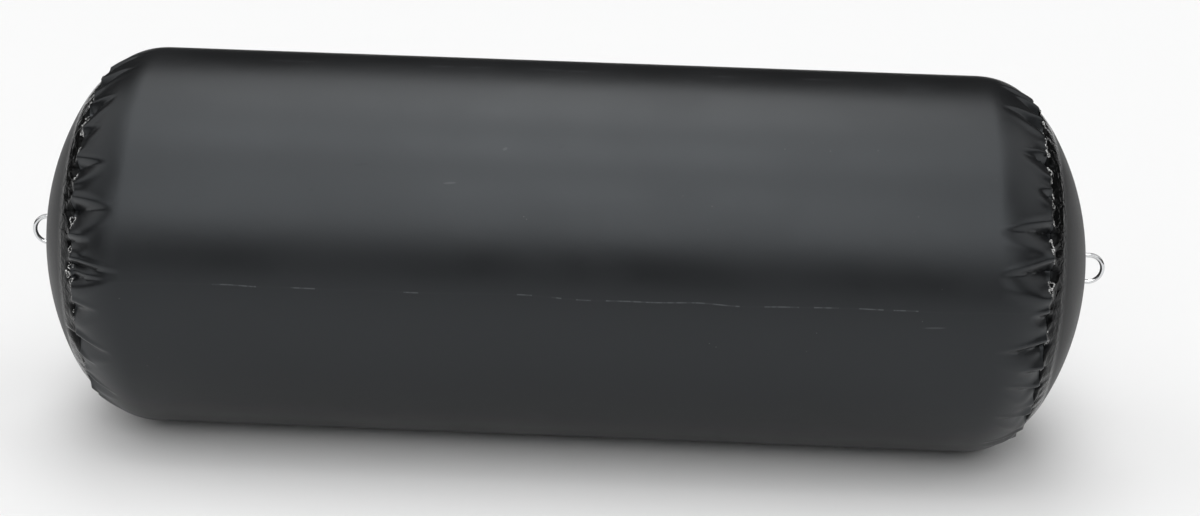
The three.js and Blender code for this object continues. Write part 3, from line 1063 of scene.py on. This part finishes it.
@dataclass
class EndDisc:
    """One domed end disc, from under the tube's edge to the flat seat of the ring's patch."""

    side: Side
    hidden_run: float = 0.010
    gathered_run: float = 0.062
    row_pitch: float = 0.0022
    dome_rows: int = 16

    def build(self, material: bpy.types.Material) -> bpy.types.Object:
        """Turn the dome and carry the pleats on over its rim.

        Args:
            material: The fabric.

        Returns:
            The end disc.
        """
        rows = int(self.gathered_run / self.row_pitch)
        runs = np.concatenate([
            np.linspace(-self.hidden_run, self.gathered_run, rows),
            np.linspace(self.gathered_run, RUN[-1], self.dome_rows)[1:]])
        wall = list(zip(*(part.tolist() for part in wall_at(runs))))
        profile = [(wall[0][0], 0.0), *wall, (SEAT_X, 0.0)]
        piece = turned("fender_end_disc_" + self.side.word,
                       [(self.side.value * x, r) for x, r in profile], COLUMNS, Axis.X)
        self.gather(piece)
        smooth(piece, 50.0)
        dress(piece, material, "root", ["end_disc_" + self.side.word])
        return piece

    def gather(self, piece: bpy.types.Object) -> None:
        """Move the turned dome into its gathered form, one fabric's thickness below the tube.

        Args:
            piece: The turned dome.
        """
        points = places(piece)
        turn, radius = round_axis(points)
        wall = radius > SEAT_R * 0.5
        run = np.interp(np.abs(points[wall, 0]), RUN_X, RUN)
        sunk = FABRIC * np.clip(1 - run / 0.030, 0, 1) + 0.0022 * np.clip(-run / 0.006, 0, 1)
        moved = points.copy()
        moved[wall] = FORMS[self.side].surface(run, turn[wall], -sunk)
        moved[~wall, 2] = AXIS_Z
        move_to(piece, moved)


# Beads of weld seen from the front: the angle and the size of each, in order downwards
FRONT_BEADS: dict[Side, tuple[tuple[float, float], ...]] = {
    Side.LEFT: ((79.8, 0.9), (63.5, 1.0), (59.2, 0.7), (55.5, 1.3), (51.8, 1.2), (45.3, 0.7),
                (34.7, 1.0), (21.1, 1.1), (19.0, 0.7), (11.6, 0.9), (5.8, 1.0), (3.2, 1.4),
                (1.0, 1.0), (-20.2, 0.7)),
    Side.RIGHT: ((82.1, 1.0), (79.0, 0.7), (72.6, 1.3), (63.3, 0.7), (59.6, 0.8), (56.5, 1.2),
                 (50.0, 1.1), (46.5, 0.7), (40.9, 0.9), (37.8, 0.8), (32.2, 0.9), (24.6, 1.2),
                 (22.0, 1.0), (20.0, 0.7), (11.9, 1.2), (10.0, 1.1), (-7.6, 0.8)),
}


@dataclass
class WeldBeads:
    """Shiny squeezed-out weld along the tube's cut edge, thickest in the tucks.

    The sizes are the length, the width and the height of a bead of size 1.
    """

    side: Side
    spare: int = 44
    loop_size: tuple[float, float, float] = (0.0050, 0.0040, 0.0042)
    drop_size: tuple[float, float, float] = (0.0046, 0.0022, 0.0013)

    def build(self, material: bpy.types.Material) -> bpy.types.Object:
        """Lay the beads along the edge: loops in the tucks, small drops between them.

        Args:
            material: The bead's finish.

        Returns:
            All the beads as one piece.
        """
        draw = random.Random(57 + self.side.value)
        form = FORMS[self.side]
        front = len(FRONT_PLEATS[self.side])
        loops = list(FRONT_BEADS[self.side])
        loops += [(pleat.angle + draw.uniform(-0.8, 0.8), 0.5 + 55 * pleat.depth)
                  for pleat in form.pleats[front:]]
        beads = [self.bead(form, turn, size, True, draw) for turn, size in loops]
        for _ in range(self.spare):
            beads.append(self.bead(form, draw.uniform(0, 360), draw.uniform(0.4, 0.8), False, draw))
        piece = join(beads, "weld_beads_" + self.side.word)
        face_outwards(piece)
        smooth(piece, 60.0)
        dress(piece, material, "root")
        return piece

    def bead(self, form: EndForm, turn: float, size: float, loop: bool,
             draw: random.Random) -> bpy.types.Object:
        """One bead, bent and pressed onto the wall.

        Args:
            form: The end's form.
            turn: Its angle round the tube.
            size: Its size, about 1.
            loop: Whether it is a loop round a small hollow, or a drop.
            draw: The source of its small variations.

        Returns:
            The bead.
        """
        angle = np.array([turn])
        run = float(form.edge_wave(angle)[0]) + draw.uniform(0.0005, 0.0055)
        here = form.surface(np.array([run]), angle, -FABRIC)[0]
        ahead = form.surface(np.array([run + 0.003]), angle, -FABRIC)[0]
        beside = form.surface(np.array([run]), angle + 0.6, -FABRIC)[0]
        along = Vector(ahead - here).normalized()
        across = Vector(beside - here).normalized()
        up = along.cross(across).normalized()
        if up.dot(Vector((0.3 * form.side.value, here[1], here[2] - AXIS_Z))) < 0:
            up = -up
        deselect()
        if loop:
            bpy.ops.mesh.primitive_torus_add(major_segments=24, minor_segments=8,
                                             major_radius=1.0, minor_radius=0.30)
        else:
            bpy.ops.mesh.primitive_uv_sphere_add(segments=12, ring_count=8, radius=1.0)
        drop = bpy.context.object
        points = places(drop)
        long, wide, tall = (part * size for part in (self.loop_size if loop else self.drop_size))
        long *= draw.uniform(0.8, 1.4)
        bend = draw.uniform(-0.5, 0.5)
        around = np.arctan2(points[:, 1], points[:, 0])
        swell = 1 + 0.22 * np.sin(3 * around + draw.uniform(0, 6))
        local = np.stack([points[:, 0] * swell * long,
                          (points[:, 1] * swell + bend * points[:, 0] ** 2) * wide,
                          points[:, 2] * tall * swell], axis=1)
        basis = np.array([across, along, up])
        move_to(drop, local @ basis + here)
        return drop


@dataclass
class RingEnd:
    """The D-ring of one end with its patch and its strap."""

    side: Side
    wire: float = 0.004
    inner_width: float = 0.040
    leg: float = 0.015
    corner: float = 0.007
    patch_radius: float = 0.062
    patch_thickness: float = 0.0025
    strap_width: float = 0.034
    strap_thickness: float = 0.0025
    strap_tail: float = 0.042
    bar_clearance: float = 0.0004
    weld_swell: float = 0.09
    gap: float = 0.0003

    @property
    def bar_x(self) -> float:
        """Distance of the bar's middle line from the middle of the tube."""
        return SEAT_X + self.gap + self.patch_thickness + self.wire + self.bar_clearance

    def ring_path(self, count: int) -> tuple[np.ndarray, np.ndarray]:
        """The ring's middle line and its outward normals, out and up from the bar's middle.

        Args:
            count: The number of points.

        Returns:
            The points and the normals, one row of (out, up) each.
        """
        half = self.inner_width / 2 + self.wire
        straight = half - self.corner
        fine = np.linspace(0, 1, 60)
        quarter = fine * math.pi / 2
        top = [
            np.stack([np.zeros(60), straight * fine], axis=1),
            np.stack([self.corner * (1 - np.cos(quarter)),
                      straight + self.corner * np.sin(quarter)], axis=1),
            np.stack([self.corner + (self.leg - self.corner) * fine, np.full(60, half)], axis=1),
            np.stack([self.leg + half * np.sin(quarter), half * np.cos(quarter)], axis=1),
        ]
        upper = np.concatenate([top[0], *(part[1:] for part in top[1:])])
        lower = upper[::-1][1:] * np.array([1, -1])
        line = np.concatenate([upper, lower])
        run = np.concatenate([[0], np.cumsum(np.hypot(*np.diff(line, axis=0).T))])
        at = np.linspace(0, run[-1], count, endpoint=False)
        points = np.stack([np.interp(at, run, line[:, 0]), np.interp(at, run, line[:, 1])], axis=1)
        ahead = np.roll(points, -1, axis=0) - np.roll(points, 1, axis=0)
        ahead /= np.hypot(ahead[:, 0], ahead[:, 1])[:, None]
        return points, np.stack([-ahead[:, 1], ahead[:, 0]], axis=1)

    def build_ring(self, material: bpy.types.Material) -> bpy.types.Object:
        """Bend a round bar to the ring's path and weld it behind the strap.

        Args:
            material: The steel.

        Returns:
            The D-ring.
        """
        around, section = 160, 24
        deselect()
        bpy.ops.mesh.primitive_torus_add(major_segments=around, minor_segments=section,
                                         major_radius=1.0, minor_radius=self.wire)
        ring = bpy.context.object
        ring.name = ring.data.name = "steel_d_ring_" + self.side.word
        points = places(ring)
        line, normals = self.ring_path(around)
        turn = np.degrees(np.arctan2(points[:, 1], points[:, 0])) % 360
        step = np.rint(turn / 360 * around).astype(int) % around
        out = np.hypot(points[:, 0], points[:, 1]) - 1.0
        from_joint = (step + around / 2) % around - around / 2
        weld = 1 + self.weld_swell * np.exp(-from_joint ** 2 / 6.0)
        flat = line[step] + normals[step] * (out * weld)[:, None]
        x = self.side.value * (self.bar_x + flat[:, 0])
        move_to(ring, np.stack([x, points[:, 2] * weld, AXIS_Z + flat[:, 1]], axis=1))
        face_outwards(ring)
        smooth(ring, 60.0)
        dress(ring, material, "ring_" + self.side.word,
              ["d_ring_" + self.side.word])
        return ring

    def build_patch(self, material: bpy.types.Material) -> bpy.types.Object:
        """The round patch, with a rounded rim and a pressed ring near it.

        Args:
            material: The fabric.

        Returns:
            The patch.
        """
        low = SEAT_X + self.gap
        high = low + self.patch_thickness
        r = self.patch_radius
        profile = [(low, 0.0), (low, r), (low + 0.0008, r + 0.0002), (high - 0.0008, r - 0.0003),
                   (high - 0.0002, r - 0.0010), (high, r - 0.0020), (high, r - 0.0052),
                   (high - 0.0004, r - 0.0058), (high - 0.0004, r - 0.0070), (high, r - 0.0076),
                   (high, r * 0.5), (high, 0.0)]
        patch = turned("round_patch_" + self.side.word,
                       [(self.side.value * x, radius) for x, radius in profile], 128, Axis.X)
        move_to(patch, places(patch) + np.array([0, 0, AXIS_Z]))
        smooth(patch, 35.0)
        dress(patch, material, "root", ["ring_patch_" + self.side.word])
        return patch

    def strap_line(self) -> list[tuple[float, float]]:
        """Middle line of the strap, as (sideways, out from the patch).

        Returns:
            The points, from one tail over the bar to the other tail.
        """
        half = self.strap_thickness / 2
        bar = self.wire + self.bar_clearance - self.gap
        loop = self.wire + self.bar_clearance + half
        line = [(-self.strap_tail, half), (-loop - 0.012, half), (-loop - 0.004, half)]
        line += [(-loop - 0.0012, half + 0.0012), (-loop, half + 0.0028)]
        for i in range(13):
            turn = math.pi * (1 - i / 12)
            line.append((loop * math.cos(turn), bar + loop * math.sin(turn)))
        line += [(-a, b) for a, b in reversed(line[:5])]
        return line

    def build_strap(self, material: bpy.types.Material) -> bpy.types.Object:
        """Extrude the strap's line to its width and give it its thickness.

        Args:
            material: The webbing.

        Returns:
            The strap.
        """
        base = SEAT_X + self.gap * 2 + self.patch_thickness
        line = self.strap_line()
        place = [Vector((self.side.value * (base + out), sideways, AXIS_Z - self.strap_width / 2))
                 for sideways, out in line]
        strap = drawn("ring_loop_strap_" + self.side.word, place)
        rows = 12
        for _ in range(rows):
            bpy.ops.mesh.extrude_region_move(
                TRANSFORM_OT_translate={"value": (0, 0, self.strap_width / rows)})
        face_outwards(strap)
        settle(strap)
        finish_with(strap, "SOLIDIFY", thickness=self.strap_thickness * 0.96, offset=0.0)
        finish_with(strap, "BEVEL", width=0.0004, segments=2, limit_method="ANGLE",
                    angle_limit=math.radians(50))
        smooth(strap, 40.0)
        dress(strap, material, "root", ["ring_strap_" + self.side.word])
        return strap


@dataclass
class Valve:
    """The inflation valve on the far side of the right disc, in its own turned frame."""

    offset: float = 0.150
    turn: float = 20.0
    sink: float = 0.0015
    gap: float = 0.0003
    flange: float = 0.027
    flange_thickness: float = 0.003
    collar: float = 0.016
    collar_height: float = 0.010
    upper_bore: float = 0.0115
    body: float = 0.015
    depth: float = 0.032
    stem_bore: float = 0.0026
    seat_bore: float = 0.008
    seat_top: float = 0.007
    seat_low: float = 0.009
    chamber: float = 0.012
    chamber_floor: float = 0.030
    cap_clearance: float = 0.0004
    cap_wall: float = 0.0041
    cap_top: float = 0.003
    cap_skirt: float = 0.0073
    cap_groove: float = 0.0015
    flutes: int = 24
    flute_depth: float = 0.0005
    seal_section: float = 0.001
    tether_thickness: float = 0.0024
    placed: Matrix = field(default_factory=Matrix)

    def __post_init__(self) -> None:
        """Work out the valve's place on the dome."""
        tilt = math.asin(self.offset / DOME_R)
        turn = math.radians(self.turn)
        way = Vector((math.cos(tilt), math.sin(tilt) * math.cos(turn),
                      math.sin(tilt) * math.sin(turn)))
        floor = way * (DOME_R - self.sink) + Vector((DOME_X, 0, AXIS_Z))
        tipped = Vector((0, 0, 1)).rotation_difference(way).to_matrix().to_4x4()
        self.placed = Matrix.Translation(floor) @ tipped

    def put(self, piece: bpy.types.Object) -> None:
        """Carry a piece made round +Z at the origin to the valve's place."""
        piece.data.transform(self.placed)

    def build_body(self, material: bpy.types.Material) -> bpy.types.Object:
        """The flanged body as far as its collar and bore show.

        Args:
            material: The plastic.

        Returns:
            The valve's body.
        """
        low, top = self.gap, self.gap + self.flange_thickness
        rim = top + self.collar_height
        r, c = self.flange, self.collar
        profile = [(-self.depth, self.stem_bore), (-self.depth, self.body - 0.0008),
                   (-self.depth + 0.0008, self.body), (low, self.body),
                   (low, r - 0.0004), (low + 0.0004, r), (top - 0.0012, r),
                   (top - 0.0004, r - 0.0004), (top, r - 0.0012), (top, r - 0.0042),
                   (top - 0.0005, r - 0.0047), (top - 0.0005, r - 0.0058), (top, r - 0.0063),
                   (top, c + 0.0006), (top + 0.0006, c)]
        threads = 5
        pitch = (self.collar_height - 0.0026) / threads
        for i in range(threads):
            start = top + 0.0012 + i * pitch
            profile += [(start, c - 0.0007), (start + pitch * 0.3, c - 0.0007),
                        (start + pitch * 0.5, c), (start + pitch * 0.8, c)]
        profile += [(rim - 0.0006, c - 0.0006), (rim, c - 0.0012), (rim, self.upper_bore + 0.0006),
                    (rim - 0.0006, self.upper_bore), (-self.seat_top, self.upper_bore),
                    (-self.seat_top, self.seat_bore), (-self.seat_low, self.seat_bore),
                    (-self.seat_low, self.chamber), (-self.chamber_floor, self.chamber),
                    (-self.chamber_floor, self.stem_bore), (-self.depth, self.stem_bore)]
        piece = turned("inflation_valve_body", profile, 96, Axis.Z)
        self.put(piece)
        smooth(piece, 35.0)
        dress(piece, material, "root", ["valve_body"])
        return piece

    def build_cap(self, material: bpy.types.Material) -> bpy.types.Object:
        """The cap with grip flutes round it and a wing across its top.

        Args:
            material: The plastic.

        Returns:
            The cap.
        """
        rim = self.gap + self.flange_thickness + self.collar_height
        inner = rim + 2 * self.gap + 2 * self.seal_section
        low, top = inner - self.cap_skirt, inner + self.cap_top
        bore = self.collar + self.cap_clearance
        outer = bore + self.cap_wall
        groove = outer - self.cap_groove
        cut = inner - self.tether_thickness - 2 * self.gap
        profile = [(inner, 0.0), (inner, bore), (low + 0.0004, bore), (low, bore + 0.0004),
                   (low, outer - 0.0006), (low + 0.0006, outer), (cut, outer), (cut, groove),
                   (inner, groove), (inner, outer), (top - 0.0012, outer),
                   (top - 0.0004, outer - 0.0004), (top, outer - 0.0012), (top, outer * 0.6),
                   (top, 0.0)]
        piece = turned("inflation_valve_cap", profile, 120, Axis.Z)
        points = places(piece)
        turn = np.arctan2(points[:, 1], points[:, 0])
        radius = np.hypot(points[:, 0], points[:, 1])
        fluted = (radius > groove + 0.0004) & (points[:, 2] > low + 0.0002)
        share = np.where(
            fluted, 1 - self.flute_depth / outer * (0.5 + 0.5 * np.cos(self.flutes * turn)), 1.0)
        points[:, :2] *= share[:, None]
        move_to(piece, points)
        wing_height, wing_width, sunk = 0.005, 0.005, 0.0006
        deselect()
        bpy.ops.mesh.primitive_cube_add(size=1.0, location=(0, 0, top + (wing_height - sunk) / 2),
                                        scale=(1.7 * outer, wing_width, wing_height + sunk))
        wing = bpy.context.object
        settle(wing)
        finish_with(wing, "BEVEL", width=0.0014, segments=4)
        cap = join([piece, wing], "inflation_valve_cap")
        self.put(cap)
        smooth(cap, 35.0)
        dress(cap, material, "cap", ["valve_cap"])
        return cap

    def dress_small_nodes(self, plastic: bpy.types.Material, rubber: bpy.types.Material,
                          steel: bpy.types.Material) -> None:
        """Give the solids that stay their finishes.

        Args:
            plastic: The poppet's finish.
            rubber: The seal's and tether's finish.
            steel: The spring's finish.
        """
        finishes = {"valve_poppet": plastic, "valve_cap_seal": rubber, "valve_tether": rubber,
                    "valve_spring": steel}
        for name, material in finishes.items():
            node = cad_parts[name]
            node.data.materials.clear()
            node.data.materials.append(material)


@dataclass(frozen=True)
class Softbox:
    """A very broad distant lamp: where it shines from, its width in the sky and its strength.

    The angles are in degrees. Elevation counts up from the camera's side and lean tips the lamp
    from there towards +X. A strength of 1 lights a white surface that faces it to white.
    """

    name: str
    elevation: float
    lean: float
    spread: float
    strength: float

    def hang(self) -> None:
        """Add the lamp."""
        deselect()
        bpy.ops.object.light_add(type="SUN", location=(0, 0, 3),
                                 rotation=(math.radians(90 - self.elevation),
                                           math.radians(self.lean), 0))
        lamp = bpy.context.object
        lamp.name = lamp.data.name = self.name
        lamp.data.angle = math.radians(self.spread)
        lamp.data.energy = self.strength * math.pi


@dataclass(frozen=True)
class Studio:
    """The floor, the lamps and the camera."""

    azimuth: float = 1.2
    elevation: float = 18.15
    roll: float = 1.79
    distance: float = 3.357
    focal_px: float = 1926.3
    image_width: float = 1200.0
    sensor_width: float = 36.0
    aim_right: float = 0.060
    aim_up: float = -0.0143
    lamps: tuple[Softbox, ...] = (
        Softbox("back_strip", 119.0, -3.0, 33.0, 0.168),
        Softbox("overhead_strip", 92.0, -3.0, 37.0, 0.24),
        Softbox("high_front_strip", 65.0, -3.0, 37.0, 0.248),
        Softbox("front_strip", 38.0, -3.0, 35.0, 0.212),
        Softbox("right_softbox", 92.0, 43.0, 56.0, 0.2),
        Softbox("left_softbox", 92.0, -46.0, 56.0, 0.2),
        Softbox("front_right_softbox", 38.0, 43.0, 36.0, 0.124),
        Softbox("front_left_softbox", 38.0, -48.0, 36.0, 0.124),
    )
    room: float = 0.03
    floor_colour: tuple[float, float, float] = (0.84, 0.84, 0.84)
    floor_size: float = 30.0

    def add_camera(self) -> None:
        """Stand the camera where the photograph was taken from."""
        a, e, roll = (math.radians(v) for v in (self.azimuth, self.elevation, self.roll))
        back = Vector((math.sin(a) * math.cos(e), -math.cos(a) * math.cos(e), math.sin(e)))
        right = Vector((math.cos(a), math.sin(a), 0))
        up = back.cross(right)
        level = Vector((0, 0, AXIS_Z)) + right * self.aim_right + up * self.aim_up
        rolled_right = right * math.cos(roll) + up * math.sin(roll)
        rolled_up = up * math.cos(roll) - right * math.sin(roll)
        data = bpy.data.cameras.new("camera")
        data.sensor_width = self.sensor_width
        data.lens = self.sensor_width * self.focal_px / self.image_width
        camera = bpy.data.objects.new("camera", data)
        turned_to = Matrix((rolled_right, rolled_up, back)).transposed().to_4x4()
        camera.matrix_world = Matrix.Translation(level + back * self.distance) @ turned_to
        bpy.context.scene.collection.objects.link(camera)
        bpy.context.scene.camera = camera

    def add_lamps(self) -> None:
        """Hang the softboxes and set the dim room round the fender."""
        for lamp in self.lamps:
            lamp.hang()
        world = bpy.data.worlds.new("studio")
        world.use_nodes = True
        bpy.context.scene.world = world
        background = world.node_tree.nodes["Background"]
        background.inputs["Color"].default_value = (1, 1, 1, 1)
        background.inputs["Strength"].default_value = self.room

    def add_floor(self) -> None:
        """Lay the pale floor."""
        deselect()
        bpy.ops.mesh.primitive_plane_add(size=self.floor_size)
        floor = bpy.context.object
        floor.name = "floor"
        material, _tools, plain = new_material("pale_floor")
        plain.inputs["Base Color"].default_value = shade(self.floor_colour)
        plain.inputs["Roughness"].default_value = 0.9
        plain.inputs["Specular IOR Level"].default_value = 0.1
        floor.data.materials.append(material)


SHARED: dict[str, bpy.types.NodeTree] = {}


def main() -> None:
    """Build and dress the fender, then light it and set the camera."""
    logging.basicConfig(level=logging.INFO, format="%(message)s")
    bpy.context.scene.view_settings.view_transform = "Standard"
    SHARED["clouds"] = cloud_group()
    SHARED["weave"] = weave_group()
    studio = Studio()
    studio.add_camera()
    tube_fabric = MarkedFabric("tube_fabric").make()
    disc_fabric = WeldedDiscFabric("disc_fabric", roughness=0.40, gloss=0.08).make()
    bead = WeldBead("weld_bead").make()
    patch_fabric = CoatedFabric("patch_fabric", colour=(0.016, 0.016, 0.017), roughness=0.5).make()
    steel = PolishedSteel("polished_steel").make()
    webbing = Webbing("strap_webbing").make()
    plastic = Moulded("valve_plastic").make()
    rubber = Moulded("valve_rubber", colour=(0.012, 0.012, 0.012), roughness=0.7).make()
    spring = PolishedSteel("spring_steel", colour=(0.5, 0.51, 0.52), roughness=0.3).make()
    Tube().build(tube_fabric)
    for side in Side:
        EndDisc(side).build(disc_fabric)
        WeldBeads(side).build(bead)
        ring = RingEnd(side)
        ring.build_patch(patch_fabric)
        ring.build_strap(webbing)
        ring.build_ring(steel)
    valve = Valve()
    valve.build_body(plastic)
    valve.build_cap(plastic)
    valve.dress_small_nodes(plastic, rubber, spring)
    studio.add_floor()
    studio.add_lamps()


if __name__ == "__main__":
    main()
